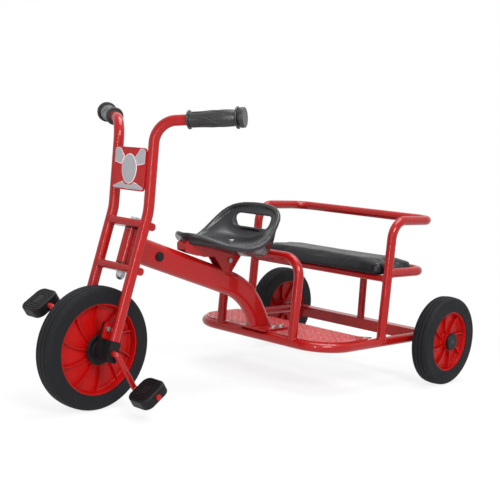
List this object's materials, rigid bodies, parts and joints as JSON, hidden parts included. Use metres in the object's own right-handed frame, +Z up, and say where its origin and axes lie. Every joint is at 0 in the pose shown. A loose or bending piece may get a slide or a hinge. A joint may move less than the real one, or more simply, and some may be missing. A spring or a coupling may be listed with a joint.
{
  "type": "toddler tricycle with a rear bench",
  "caption": "Red pedal tricycle for small children, with a driver's seat in front and a padded bench for a passenger between the rear wheels.",
  "frame": {"origin": "on the floor under the middle of the vehicle's length", "axes": "+X forward, along the vehicle's length, +Y to the rider's left, +Z up"},
  "size_m": [1.095, 0.599, 0.6262],
  "materials": {
    "red_paint": "gloss",
    "red_plastic": "gloss",
    "plate_plastic": "gloss",
    "black_plastic": "satin",
    "seat_plastic": "satin",
    "grip_rubber": "satin",
    "tyre_rubber": "matte",
    "vinyl": "satin",
    "plywood": "matte",
    "zinc": "satin"
  },
  "bodies": {
    "frame": {"main_tube": "red_paint", "head_tube": "red_paint", "head_bushings": "black_plastic", "tube_plug": "black_plastic", "foot_flange": "red_paint", "flange_bolts": "zinc", "under_channel": "black_plastic", "platform_loop": "red_paint", "footboard": "red_paint", "board_gussets": "red_paint", "axle_beam": "red_paint", "rear_axle": "zinc", "hoop": "red_paint", "support_rail": "red_paint", "bench_rail": "red_paint", "bench_front_tube": "red_paint", "bench_board": "plywood", "bench_pad": "vinyl", "bench_post": "red_paint", "driver_seat": "seat_plastic", "seat_bracket": "red_paint", "seat_bolts": "zinc"},
    "fork": {"fork_leg_left": "red_paint", "fork_leg_right": "red_paint", "upper_crossbar": "red_paint", "lower_crossbar": "red_paint", "pivot_bolt": "zinc", "acorn_nut": "zinc", "number_plate": "plate_plastic", "grip_left": "grip_rubber", "grip_right": "grip_rubber", "fork_end_left": "red_paint", "fork_end_right": "red_paint", "bearing_block_left": "black_plastic", "bearing_block_right": "black_plastic", "fork_end_bolts": "zinc"},
    "front_wheel": {"front_tyre": "tyre_rubber", "front_rim": "red_plastic", "front_hub_discs": "black_plastic", "crankshaft": "red_paint"},
    "pedal_left": {"pedal_left": "black_plastic"},
    "pedal_right": {"pedal_right": "black_plastic"},
    "rear_wheel_left": {"rear_tyre_left": "tyre_rubber", "rear_rim_left": "red_plastic", "rear_cap_left": "black_plastic"},
    "rear_wheel_right": {"rear_tyre_right": "tyre_rubber", "rear_rim_right": "red_plastic", "rear_cap_right": "black_plastic"}
  },
  "joints": [
    {"name": "steering", "type": "hinge", "parent": "frame", "child": "fork", "pos_m": [0.34503, 0, 0.33178], "axis": [-0.2672, 0, 0.9636], "range_deg": [-45, 45]},
    {"name": "front_wheel_spin", "type": "hinge", "parent": "fork", "child": "front_wheel", "pos_m": [0.4205, 0, 0.127], "axis": [0, 1, 0], "continuous": true},
    {"name": "pedal_left_spin", "type": "hinge", "parent": "front_wheel", "child": "pedal_left", "pos_m": [0.37094, 0.117, 0.05068], "axis": [0, 1, 0], "continuous": true},
    {"name": "pedal_right_spin", "type": "hinge", "parent": "front_wheel", "child": "pedal_right", "pos_m": [0.47006, -0.117, 0.20332], "axis": [0, 1, 0], "continuous": true},
    {"name": "rear_wheel_left_spin", "type": "hinge", "parent": "frame", "child": "rear_wheel_left", "pos_m": [-0.4385, 0.271, 0.109], "axis": [0, 1, 0], "continuous": true},
    {"name": "rear_wheel_right_spin", "type": "hinge", "parent": "frame", "child": "rear_wheel_right", "pos_m": [-0.4385, -0.271, 0.109], "axis": [0, 1, 0], "continuous": true}
  ]
}
